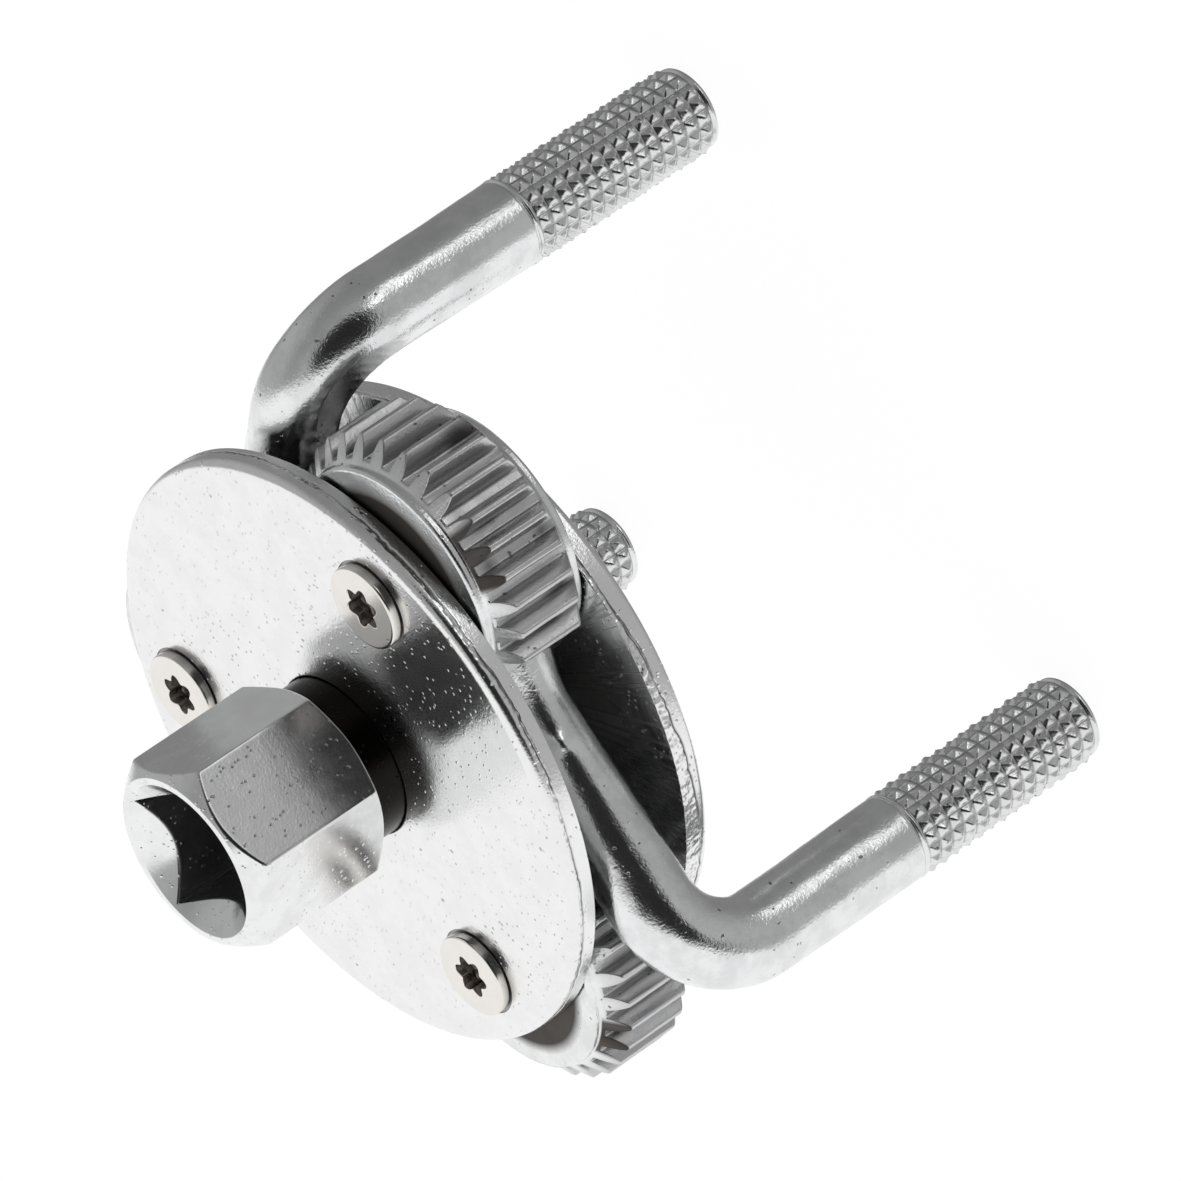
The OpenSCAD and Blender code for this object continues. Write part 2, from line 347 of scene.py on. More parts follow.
def platedSteel(name, look):
    # Bright plating: metal with a fine raised grain, some taller specks and small dark pits.
    # An attribute of dirt and painted shade darkens and roughens it, and "dull" marks thin grey plating;
    # both are attributes.
    material = bpy.data.materials.new(name)
    material.use_nodes = True
    tree = material.node_tree
    shader = tree.nodes["Principled BSDF"]
    shader.inputs["Metallic"].default_value = 1.0
    vector = tree.nodes.new("ShaderNodeTexCoord").outputs["Object"]
    grain = useGroup(tree, groups["grain"], vector, Grain_Size=look["grainSize"])
    pits = useGroup(tree, groups["pits"], vector, Cells=look["pitCells"], Share=look["pitShare"])
    dirtAndShade = addNode(tree, "ShaderNodeAttribute", {"attribute_name": "dirtAndShade"}).outputs["Fac"]
    dull = addNode(tree, "ShaderNodeAttribute", {"attribute_name": "dull"}).outputs["Fac"]
    patchy = stepped(tree, grain.outputs["Patches"], 0.35, 0.65)
    bright = mixed(tree, patchy, look["colour"], look["colourPatch"])
    greyed = mixed(tree, dull, bright, wear["dullColour"])
    pitTint = mixed(tree, pits.outputs["Rust"], look["pitColour"], wear["rustColour"])
    pitted = maths(tree, "MULTIPLY", pits.outputs["Mask"], look["pitDark"])
    marked = mixed(tree, pitted, greyed, pitTint)
    stained = mixed(tree, dirtAndShade, marked, look["dirtAndShadeColour"])
    tree.links.new(stained, shader.inputs["Base Color"])
    rough = maths(tree, "MULTIPLY_ADD", patchy, look["roughnessSpread"])
    rough.node.inputs[2].default_value = look["roughness"]
    rough = maths(tree, "ADD", rough, maths(tree, "MULTIPLY", dirtAndShade, look["dirtAndShadeRough"]))
    rough = maths(tree, "ADD", rough, maths(tree, "MULTIPLY", dull, wear["dullRough"]), clamp=True)
    tree.links.new(rough, shader.inputs["Roughness"])
    heights = (
        (grain.outputs["Height"], look["grainDepth"]),
        (grain.outputs["Specks"], look["speckHeight"]),
        (pits.outputs["Height"], look["pitDepth"]),
    )
    normal = None
    for height, depth in heights:
        bump = addNode(tree, "ShaderNodeBump", values={"Strength": 1.0, "Distance": depth * metresPerMm})
        tree.links.new(height, bump.inputs["Height"])
        if normal:
            tree.links.new(normal, bump.inputs["Normal"])
        normal = bump.outputs[0]
    tree.links.new(normal, shader.inputs["Normal"])
    return material


# heights and depths of grain, specks and pits are in millimetres; cells are per metre
finishes = {
    "plate": {
        "colour": (0.87, 0.875, 0.87),
        "colourPatch": (0.835, 0.84, 0.835),
        "roughness": 0.17,
        "roughnessSpread": 0.03,
        "grainSize": 1.0,
        "grainDepth": 0.017,
        "speckHeight": 0.045,
        "pitCells": 900.0,
        "pitShare": 0.22,
        "pitDark": 0.7,
        "pitColour": (0.30, 0.30, 0.29),
        "pitDepth": 0.02,
        "dirtAndShadeColour": (0.12, 0.118, 0.115),
        "dirtAndShadeRough": 0.5,
    },
    "hub": {
        "colour": (0.86, 0.865, 0.87),
        "colourPatch": (0.80, 0.80, 0.805),
        "roughness": 0.15,
        "roughnessSpread": 0.05,
        "grainSize": 1.1,
        "grainDepth": 0.0055,
        "speckHeight": 0.040,
        "pitCells": 620.0,
        "pitShare": 0.10,
        "pitDark": 0.15,
        "pitColour": (0.75, 0.75, 0.75),
        "pitDepth": 0.05,
        "dirtAndShadeColour": (0.016, 0.014, 0.013),
        "dirtAndShadeRough": 0.10,
    },
    "jaw": {
        "colour": (0.84, 0.845, 0.85),
        "colourPatch": (0.74, 0.745, 0.75),
        "roughness": 0.15,
        "roughnessSpread": 0.06,
        "grainSize": 1.0,
        "grainDepth": 0.024,
        "speckHeight": 0.010,
        "pitCells": 1050.0,
        "pitShare": 0.85,
        "pitDark": 0.8,
        "pitColour": (0.17, 0.16, 0.15),
        "pitDepth": 0.03,
        "dirtAndShadeColour": (0.075, 0.067, 0.060),
        "dirtAndShadeRough": 0.35,
    },
    "screw": {
        "colour": (0.83, 0.80, 0.765),
        "colourPatch": (0.81, 0.78, 0.74),
        "roughness": 0.15,
        "roughnessSpread": 0.04,
        "grainSize": 1.2,
        "grainDepth": 0.002,
        "speckHeight": 0.001,
        "pitCells": 600.0,
        "pitShare": 0.03,
        "pitDark": 0.4,
        "pitColour": (0.3, 0.27, 0.24),
        "pitDepth": 0.01,
        "dirtAndShadeColour": (0.07, 0.055, 0.045),
        "dirtAndShadeRough": 0.2,
    },
    "post": {
        "colour": (0.68, 0.68, 0.69),
        "colourPatch": (0.60, 0.60, 0.61),
        "roughness": 0.25,
        "roughnessSpread": 0.1,
        "grainSize": 1.2,
        "grainDepth": 0.004,
        "speckHeight": 0.002,
        "pitCells": 500.0,
        "pitShare": 0.05,
        "pitDark": 0.4,
        "pitColour": (0.3, 0.3, 0.3),
        "pitDepth": 0.01,
        "dirtAndShadeColour": (0.1, 0.1, 0.1),
        "dirtAndShadeRough": 0.2,
    },
}
materials = {key: platedSteel(key + "Plating", look) for key, look in finishes.items()}
print("finishes made:", ", ".join(materials))


plates = {
    "front_plate": {
        "radius": 26.8,
        "hole": 7.25,
        "face": layout["frontFace"],  # the face with the rolled rim
        "back": layout["frontFace"] - layout["plateThickness"],
        "roll": 1.05,
        "recess": 0.15,  # depth of the seat round each screw head
        "crackAt": 0.56,  # where the sheared wall's crack runs, as a share of the thickness
        "crackLean": 0.30,  # how far it moves to one side of the wall round the plate
        "leanTowards": 100,  # degrees
        "crackLimits": (0.45, 0.86),
        "tornWidth": -0.12,  # from the crack towards the face where negative
        "tearDepth": 0.8,
        "seed": 11,
    },
    "rear_plate": {
        "radius": 26.0,
        "hole": 6.05,
        "face": layout["rearFace"],
        "back": layout["rearFace"] + layout["plateThickness"],
        "roll": 0.8,
        "recess": 0.15,
        "crackAt": 0.42,
        "crackLean": 0.55,
        "leanTowards": 20,
        "crackLimits": (0.34, 0.84),
        "tornWidth": 0.9,
        "tearDepth": 1.0,
        "seed": 23,
    },
}


# the sheared wall of both plates; depths and widths along it are shares of the thickness
shear = {
    "angles": 1400,
    "rows": 30,
    # each jag of the crack's line: its height, the degrees of one cell and the cells all round
    "jags": ((0.045, 5, 72), (0.03, 1.2, 300)),
    "crackWidth": 0.028,
    "crackDepth": 0.11,  # millimetres
    "tearMean": 0.03,  # how far the torn part lies back, and its coarse and fine roughness
    "tearCoarse": 0.05,
    "tearFine": 0.03,
    "wave": 0.015,
    "crackDirt": 0.95,
    "tearDirt": 0.35,
    # painted shade: how dark the plates' inner faces are, where they face each other
    "backShade": 0.6,
}
screwHoles = {"hole": 2.05, "seat": 3.92, "sides": 96}


def makePlate(name, look):
    # A closed profile of hole, face, rolled edge, sheared wall and back, turned round the axis.
    # Beside a jagged crack the wall is torn: eased noise moves it in and out.
    face, back, radius, hole = look["face"], look["back"], look["radius"], look["hole"]
    side = 1 if face > back else -1
    angles = np.linspace(0, 360, shear["angles"], endpoint=False)
    corners = [(hole, back), (hole, face), (radius, face), (radius, back)]
    loop = roundedPath(corners, [0.15, 0.2, look["roll"], 0.12], 9, closed=True)
    outer = np.flatnonzero(loop[:, 0] > radius - 0.02)
    first, last = outer[0], outer[-1]
    wall = np.linspace(loop[first], loop[last], shear["rows"])[1:-1]
    path = np.concatenate([loop[: first + 1], wall, loop[last:]])
    points = revolved(path, angles)
    depth = np.abs(path[:, 1] - face)[:, None] / abs(face - back) + 0 * angles[None, :]
    onWall = between(path[:, 0], radius - 1.2, radius - 0.4)[:, None]
    turn = np.broadcast_to(angles[None, :], depth.shape)
    lean = look["crackAt"] + look["crackLean"] * np.cos(np.radians(turn - look["leanTowards"]))
    seed = look["seed"]
    jagged = sum(
        height * easedNoise(turn / cell, 0 * turn, seed + k, period)
        for k, (height, cell, period) in enumerate(shear["jags"])
    )
    border = np.clip(lean, *look["crackLimits"]) + jagged
    start, end = sorted((0, look["tornWidth"]))
    ending = border + end + 0.05 * easedNoise(turn / 2.5, 0 * turn, seed + 6, 144)
    starts = between(depth, border + start - 0.02, border + start + 0.03)
    torn = starts * (1 - between(depth, ending - 0.03, ending + 0.03))
    coarse = easedNoise(turn, depth * 4 + turn / 3, seed + 2, 360)
    fine = easedNoise(turn / 0.4, depth * 12, seed + 3, 900)
    shows = between(easedNoise(turn / 9, 0 * turn, seed + 4, 40), -0.35, 0.35)
    crack = np.exp(-(((depth - border) / shear["crackWidth"]) ** 2)) * (0.35 + 0.65 * shows)
    wave = easedNoise(turn / 10, 0 * turn, seed + 5, 36)
    tear = shear["tearMean"] + shear["tearCoarse"] * coarse + shear["tearFine"] * fine
    sink = look["tearDepth"] * torn * tear + shear["crackDepth"] * crack + shear["wave"] * (1 + wave)
    sink = onWall * sink
    reach = np.hypot(points[..., 0], points[..., 1])
    points[..., :2] *= ((reach - sink) / reach)[..., None]
    thickness = abs(face - back)
    onBack = between(np.abs(path[:, 1] - face), thickness - 0.01, thickness) * (path[:, 0] < radius - 0.3)
    wallDirt = shear["crackDirt"] * crack + shear["tearDirt"] * torn * between(fine, 0.1, 0.7)
    # the inner face of each plate, towards the other plate, gets painted shade
    dirtAndShade = np.clip(onWall * wallDirt + shear["backShade"] * onBack[:, None], 0, 1)
    skin = shell(points, closedRows=True, flip=side < 0)
    piece = makePiece(name + "_disc", [skin], materials["plate"], {"dirtAndShade": dirtAndShade.ravel()})
    holes, seats = [], []
    seatFloor = face - side * look["recess"]
    for k in range(3):
        a = math.radians(120 * k)
        for width, ends, cutters in (
            (screwHoles["hole"], (back - side, face + side), holes),
            (screwHoles["seat"], (seatFloor, face + side), seats),
        ):
            low, high = sorted(ends)
            sides = np.linspace(0, 360, screwHoles["sides"], endpoint=False)
            ring = revolved(np.array([(width, low), (width, high)]), sides)
            ring[..., 0] += layout["pivotRadius"] * math.cos(a)
            ring[..., 1] += layout["pivotRadius"] * math.sin(a)
            cutters.append(shell(ring))
    tools = [makePiece(name + "_cutter", skins, materials["plate"]) for skins in (holes, seats)]
    for tool in tools:
        cut = piece.modifiers.new("cut", "BOOLEAN")
        cut.operation, cut.object, cut.solver = "DIFFERENCE", tool, "EXACT"
    bpy.context.view_layer.update()
    evaluated = piece.evaluated_get(bpy.context.evaluated_depsgraph_get())
    made = bpy.data.meshes.new_from_object(evaluated)
    piece.modifiers.clear()
    piece.data = made
    for tool in tools:
        bpy.data.objects.remove(tool)
    # the two flat faces are shaded flat, the rims and holes smooth
    normals = np.zeros(len(made.polygons) * 3, np.float32)
    made.polygons.foreach_get("normal", normals)
    flat = np.abs(normals.reshape(-1, 3)[:, 2]) > 0.99995
    made.polygons.foreach_set("use_smooth", ~flat)
    made.update()
    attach(piece, "housing")
    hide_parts(name)


for name, look in plates.items():
    makePlate(name, look)
print("plates made")


hub = {
    "acrossFlats": 15.9,
    "hexTurn": 10.0,  # degrees
    # the side of the hexagon darkened with painted shade: its middle and half width in degrees, and how dark
    # it is
    "shadedSide": (-20.0, 29.4, 0.36),
    "squareWidth": 9.6,
    "squareTurn": 40.6,
    "top": 66.1,
    "foot": 52.0,  # rear end of the hexagon
    "mouth": 7.05,  # radius of the conical mouth inside its rounded lip
    "faceRim": 7.62,  # outer radius of the flat ring round the mouth
    "squareDepth": 12.0,
    "relief": 4.3,  # radius of the drilled hole below the square; the depths of its wall and point
    "reliefWall": 2.4,
    "reliefPoint": 3.6,
    "footRim": 7.65,
    "neck": 7.2,
    "neckEnd": 46.0,
    "teeth": 21,
    "gearFrom": 36.35,
    "gearTo": 46.55,
    "gearFace": 8.2,  # radius of the flat part of the gear's ends
    "gearBevel": 0.5,  # fall of the ends for each millimetre outwards from there
    "journal": 6.0,
    "journalTo": 36.5,
    "edge": 0.16,  # rounding of the machined edges
    "socketDirt": 0.35,
    "gearDirt": 0.25,
}
gears = {
    "module": 0.8,
    "pressure": 20.0,
    "play": 0.06,
    "jawTeeth": 30,
    "jawPhase": 2.6,  # one jaw tooth's angle from straight outwards, in degrees
}


def polygonRadius(angles, sides, apothem, turn, sharpness):
    # distance to the edge of a regular polygon: the sides' own distances joined by a power mean
    total = 0
    for i in range(sides):
        c = np.cos(np.radians(angles - turn - 360 / sides * (i + 0.5)))
        total = total + np.maximum(c, 0) ** sharpness
    return apothem / total ** (1 / sharpness)


def toothOutline(teeth, phase, keep, tipRound=0.14, rootRound=0.22):
    # One tooth is drawn with angle across and radius up: root, involute flank, tip, flank, root.
    # It is copied to each tooth's own angle; where a tooth is left out its place stays at root radius.
    pitch = gears["module"] * teeth / 2
    base = pitch * math.cos(math.radians(gears["pressure"]))
    root, tip = pitch - 1.25 * gears["module"], pitch + gears["module"]

    def involute(angle):
        return np.tan(angle) - angle

    def half(r):
        r = np.maximum(r, base)
        spread = involute(math.radians(gears["pressure"])) - involute(np.arccos(base / r))
        return math.pi / 2 / teeth - gears["play"] / pitch + spread

    flank = np.linspace(root + 0.02, tip, 5)
    corners = [(root, -math.pi / teeth)] + [(r, -half(r)) for r in flank]
    corners += [(r, half(r)) for r in flank[::-1]] + [(root, math.pi / teeth)]
    corners = [np.array((r, a * pitch)) for r, a in corners]
    trims = [0, rootRound, 0, 0, 0, tipRound, tipRound, 0, 0, 0, rootRound, 0]
    tooth = roundedPath(corners, trims, 3)[1:]
    radius, angle = tooth[:, 0], tooth[:, 1] / pitch
    centres = phase + np.arange(teeth) * 360 / teeth
    kept = keep((centres + 180) % 360 - 180)[:, None]
    radii = np.where(kept, radius[None, :], root)
    angles = centres[:, None] + np.degrees(angle)[None, :]
    return radii.ravel(), angles.ravel()


def makeHub():
    # Outer skin: for each angle, a path from the socket's floor up the square wall, out over
    # the cone and flat ring, down the chamfer and the hexagon's side, then foot and neck.
    # The angles lie closer together at the corners of hexagon and square.
    hexCorners = [hub["hexTurn"] + 60 * i for i in range(6)]
    squareCorners = [hub["squareTurn"] + 45 + 90 * i for i in range(4)]
    offsets = np.array([-4, -2.5, -1.5, -0.8, -0.35, 0, 0.35, 0.8, 1.5, 2.5, 4])
    near = np.add.outer(hexCorners + squareCorners, offsets).ravel()
    angles = np.unique(np.round(np.concatenate([np.arange(0, 360, 0.75), near % 360]), 3))
    six = polygonRadius(angles, 6, hub["acrossFlats"] / 2, hub["hexTurn"], 150)
    square = polygonRadius(angles, 4, hub["squareWidth"] / 2, hub["squareTurn"] + 45, 110)
    top, foot, mouth, rim = hub["top"], hub["foot"], hub["mouth"], hub["faceRim"]
    floor = top - hub["squareDepth"]
    neck, neckEnd = hub["neck"], hub["neckEnd"]
    one = np.ones_like(angles)

    def ring(r, z):
        return np.stack([r * one, z * one], -1)

    corners = [
        ring(0.02, floor - hub["reliefPoint"]),
        ring(hub["relief"], floor - hub["reliefWall"]),
        ring(hub["relief"], floor),
        ring(square, floor),
        ring(square, top - (mouth - square)),
        ring(mouth, top),
        ring(rim, top),
        ring(six, top - (six - rim)),
        ring(six, foot + 0.55 * (six - hub["footRim"])),
        ring(hub["footRim"], foot),
        ring(neck, foot - 0.05),
        ring(neck, neckEnd + 0.6),
        ring(neck, neckEnd),
        ring(0.02, neckEnd - 0.1),
    ]
    e = hub["edge"]
    trims = [0, 0.3, 0.2, 0.1, e * 1.2, e * 0.8, e * 0.9, e * 1.3, e * 1.5, e, 0.12, 0.1, 0.1, 0]
    path = roundedPath(corners, trims, 5)
    skin = revolved(path, angles)
    dirtAndShade = np.zeros(path.shape[:2])
    reach, height = path[..., 0], path[..., 1]
    inside = (height < top - 1.0) & (reach <= square + 0.05) & (height > floor - 4)
    dirtAndShade[inside] = hub["socketDirt"]
    middle, halfWidth, darkness = hub["shadedSide"]
    sideways = np.abs((angles - middle + 180) % 360 - 180) < halfWidth
    onSide = (height < top - (six - rim) + 0.05) & (height > foot) & (reach > six - 0.25)
    # painted shade on that side of the hexagon
    dirtAndShade[onSide & sideways & ~inside] = darkness
    dirtAndShade[(height < foot) & ~inside] = 1.0
    skins = [shell(skin, flip=True)]
    dirtAndShadeParts = [np.concatenate([dirtAndShade.ravel(), [0.7, 0]])]
    dulls = [np.concatenate([np.where(inside, 1.0, 0.0).ravel(), [1, 0]])]
    # half a tooth on from the jaws' teeth, so that the two gears mesh
    phase = (180 - gears["jawPhase"] * gears["jawTeeth"]) / hub["teeth"]
    radii, around = toothOutline(hub["teeth"], phase, lambda a: a < 360)  # keeps every tooth
    face, fall = hub["gearFace"], hub["gearBevel"]
    bottom, roof = hub["gearFrom"], hub["gearTo"]
    gearPath = roundedPath(
        [
            np.stack([0 * radii + 0.02, 0 * radii + bottom], -1),
            np.stack([np.minimum(radii, face), 0 * radii + bottom], -1),
            np.stack([radii, bottom + fall * np.maximum(radii - face, 0)], -1),
            np.stack([radii, roof - fall * np.maximum(radii - face, 0)], -1),
            np.stack([np.minimum(radii, face), 0 * radii + roof], -1),
            np.stack([0 * radii + 0.02, 0 * radii + roof], -1),
        ],
        [0, 0.08, 0.1, 0.1, 0.08, 0],
        3,
    )
    skins.append(shell(revolved(gearPath, around)))
    dirtAndShadeParts.append(np.full(len(skins[-1][0]), hub["gearDirt"]))
    dulls.append(np.ones(len(skins[-1][0])))
    rear, width, end = layout["rearFace"], hub["journal"], hub["journalTo"]
    corners = [(0.02, rear), (width, rear), (width, end), (0.02, end + 0.1)]
    journal = roundedPath(corners, [0, 0.3, 0.1, 0], 4)
    skins.append(shell(revolved(journal, np.arange(0, 360, 3.0))))
    dirtAndShadeParts.append(np.zeros(len(skins[-1][0])))
    dulls.append(np.zeros(len(skins[-1][0])))
    values = {"dirtAndShade": np.concatenate(dirtAndShadeParts), "dull": np.concatenate(dulls)}
    piece = makePiece("drive_hub_turned", skins, materials["hub"], values)
    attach(piece, "drive")
    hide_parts("drive_hub")


makeHub()
print("drive hub made")


jaws = {
    "restAngle": 120.8,  # degrees from straight outwards to the arm, clockwise
    "bare": 36.0,  # half of the toothless sector round the arm
    "boss": 10.65,
    "bossShadow": (2.3, 1.3),  # painted shadow beside the front plate: how far inside the boss's edge its dark ring is full, and where it ends
    # the teeth's roughness: height, degrees a cell, first cell, cells a millimetre, seed, cells round
    "forged": ((0.03, 1.2, 400, 1.3, 31, 300), (0.02, 0.5, 900, 3.1, 32, 720)),
    "bossFrom": 36.35,
    "bossTo": 46.55,
    "gearFrom": 37.1,
    "gearTo": 45.8,
    "bevel": 0.64,  # fall of the tooth faces for each millimetre outwards
    "bore": 4.05,
    "armHeight": 41.8,
    "armLength": 39.0,
    "elbow": 7.2,
    "armFrom": 7.0,
    "armRoot": 3.15,
    "armElbow": 3.65,
    "flare": (1.15, 8.5, 14.5),  # growth of the arm's radius into the gear, where it is full, where gone
    "bead": (0.26, 10.3, 0.75, 1.25, 0.2),  # height, then place and width along the arm and round it
}
grip = {
    "length": 19.4,
    "rows": 14,
    "around": 18,
    "crest": 3.99,
    "groove": 3.48,
    "samples": 10,
    "endFlat": 0.8,  # height of the plain rounded end below the pyramids
    "dirtAndShade": 0.45,
    "dull": 0.25,
}
# a shallow milled flat on the elbow's side: its middle along the arm and in height, its length,
# its depth, and the pitch, height and middle of the cutter's arcs
milled = {
    "along": 36.6,
    "height": 39.9,
    "length": 11.0,
    "depth": 0.6,
    "pitch": 0.9,
    "arcs": 0.012,
    "arcsFrom": (30.0, 43.0),
}
# darker teeth of each jaw: middle and half width in degrees from the arm
stains = {
    "a": {"faces": (86, 14), "ends": (131, 5)},
    "b": {"faces": (-95, 9), "ends": (160, 6)},
    "c": {"faces": (150, 12), "ends": (70, 5)},
}


def jawGear(stain, seed):
    # For each point of the toothed outline a path runs from the bore over the boss, down its
    # side, out along the bevelled tooth face, down the tooth and back under the rear face.
    phase = gears["jawPhase"] + jaws["restAngle"]
    radii, around = toothOutline(gears["jawTeeth"], phase, lambda a: np.abs(a) >= jaws["bare"])
    boss, bore = jaws["boss"], jaws["bore"]
    shadowFrom, shadowTo = boss - jaws["bossShadow"][0], boss - jaws["bossShadow"][1]
    outward = np.maximum(radii - boss, 0.05)

    def ring(r, z):
        return np.stack(np.broadcast_arrays(r + 0 * radii, z + 0 * radii), -1)

    corners = [
        ring(bore, jaws["bossFrom"]),
        ring(bore, jaws["bossTo"]),
        ring(shadowFrom, jaws["bossTo"]),
        ring(shadowTo, jaws["bossTo"]),
        ring(boss, jaws["bossTo"]),
        ring(boss, jaws["gearTo"]),
        ring(radii, jaws["gearTo"] - jaws["bevel"] * outward),
        ring(radii, jaws["gearFrom"] + jaws["bevel"] * outward),
        ring(boss, jaws["gearFrom"]),
        ring(boss, jaws["bossFrom"]),
    ]
    path = roundedPath(corners, [0.15, 0.2, 0, 0, 0.28, 0.14, 0.14, 0.2, 0.14, 0.25], 3, closed=True)
    # the teeth's long walls get rows of their own, for the roughness
    drop = np.abs(np.diff(path[:, 0, 1])) * (path[:-1, 0, 0] > boss)
    wall = int(np.argmax(drop))
    filler = np.linspace(path[wall], path[wall + 1], 8)[1:-1]
    path = np.concatenate([path[: wall + 1], filler, path[wall + 1 :]])
    height = path[..., 1]
    reach = path[..., 0]
    turn = np.broadcast_to(around[None, :], reach.shape)
    outside = between(reach, boss + 0.15, boss + 0.5)
    rough = sum(
        size * easedNoise(turn / cell + first, height * rate, noiseSeed, period)
        for size, cell, first, rate, noiseSeed, period in jaws["forged"]
    )
    path = path.copy()
    path[..., 0] = reach - outside * (rough + 0.04)
    rootDepth = 1 - between(path[..., 0], 11.0, 12.0)
    patch = between(easedNoise(turn / 9 + 90, height / 2.5, seed, 40), 0.1, 0.7)
    own = (turn + 180) % 360 - 180
    faceMark = 1 - between(np.abs(own - stain["faces"][0]), stain["faces"][1] - 2, stain["faces"][1] + 2)
    onFace = (height > jaws["gearTo"] - jaws["bevel"] * outward - 0.1) & (reach > boss + 0.1)
    endMark = 1 - between(np.abs(own - stain["ends"][0]), 0.3 * stain["ends"][1], stain["ends"][1])
    onEnd = 1 - between(height, jaws["gearFrom"] + 2.2, jaws["gearFrom"] + 4.5)
    inWall = between(jaws["gearTo"] - 0.3 - height, 0, 0.6)
    inWall = inWall * between(height - jaws["gearFrom"] - 0.2, 0, 0.6)
    dirtAndShade = rootDepth * inWall * (0.15 + 0.7 * patch) * (reach > boss + 0.1)
    dirtAndShade = np.maximum(dirtAndShade, faceMark * onFace * (0.94 + 0.06 * patch))
    dirtAndShade = np.maximum(dirtAndShade, 0.8 * endMark * onEnd * outside)
    # painted shadow: a dark ring on the boss's face, beside the front plate's rim
    onBoss = (height > jaws["bossTo"] - 0.3) & (reach > bore)
    dirtAndShade = np.maximum(dirtAndShade, onBoss * between(shadowTo - reach, 0, shadowTo - shadowFrom))
    return shell(revolved(path, around), closedRows=True), np.clip(dirtAndShade, 0, 1).ravel(), outside.ravel()


